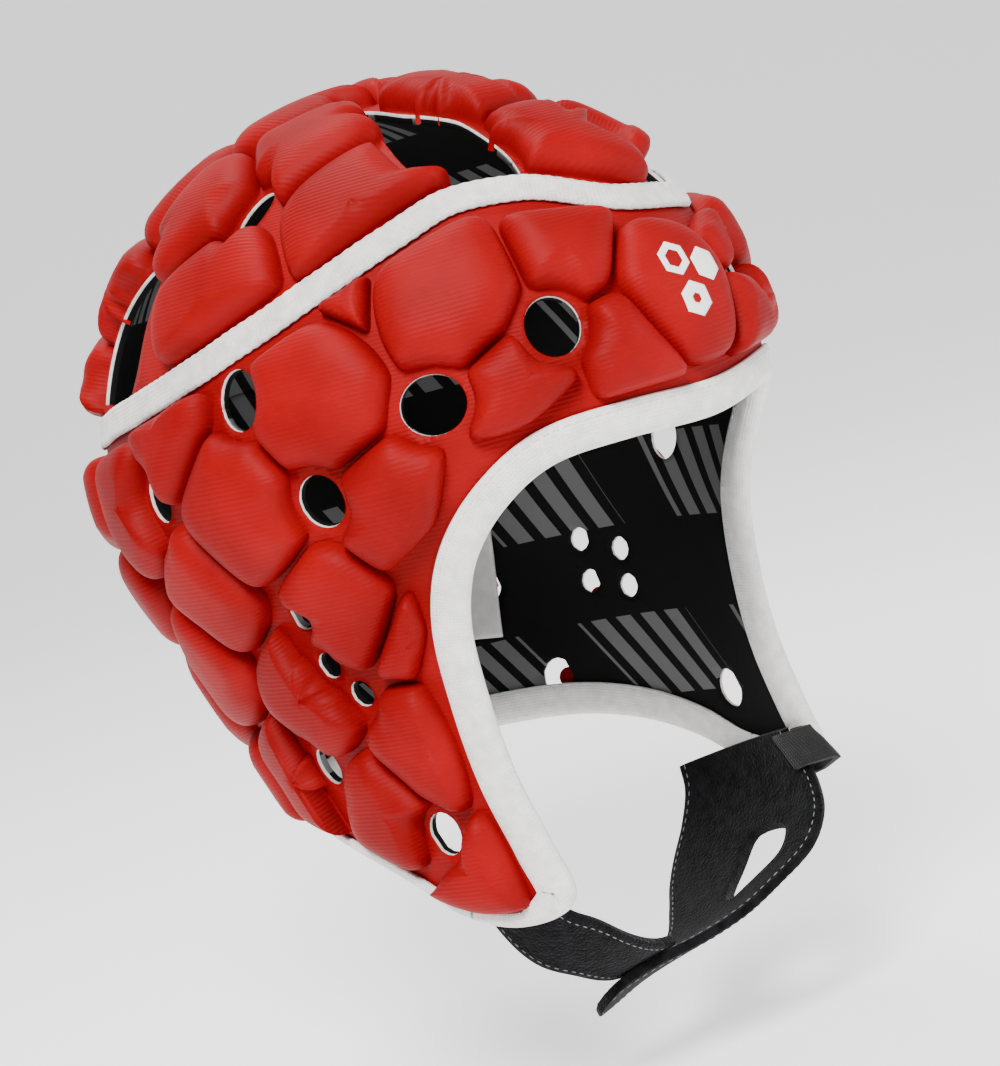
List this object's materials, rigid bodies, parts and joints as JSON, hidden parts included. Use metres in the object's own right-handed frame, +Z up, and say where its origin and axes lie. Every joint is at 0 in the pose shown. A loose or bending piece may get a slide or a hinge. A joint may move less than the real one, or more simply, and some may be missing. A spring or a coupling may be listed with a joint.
{
  "type": "rugby scrum cap",
  "caption": "Soft padded headguard of knitted foam pads with vents and darts, a taped crown seam, bound edges, side flaps and a fleece chin strap",
  "frame": {"origin": "the point of the lining where the top of the wearer's head touches", "axes": "+Z up, -Y the way the wearer faces, +X the wearer's left; worn upright"},
  "size_m": [0.1737, 0.2175, 0.2594],
  "materials": {
    "red_knit": "ribbed knit over foam",
    "woven_tape": "woven tape",
    "white_binding": "knitted binding",
    "black_fleece": "brushed fleece",
    "black_webbing": "woven webbing",
    "label_cloth": "printed satin without its print"
  },
  "bodies": {
    "root": {"crown_panel": "red_knit", "side_panel": "red_knit", "crown_tape": "woven_tape", "face_binding": "white_binding", "neck_binding": "white_binding", "strap_far": "black_fleece", "strap_near": "black_fleece", "strap_tab": "black_webbing", "care_label": "label_cloth"}
  },
  "joints": []
}
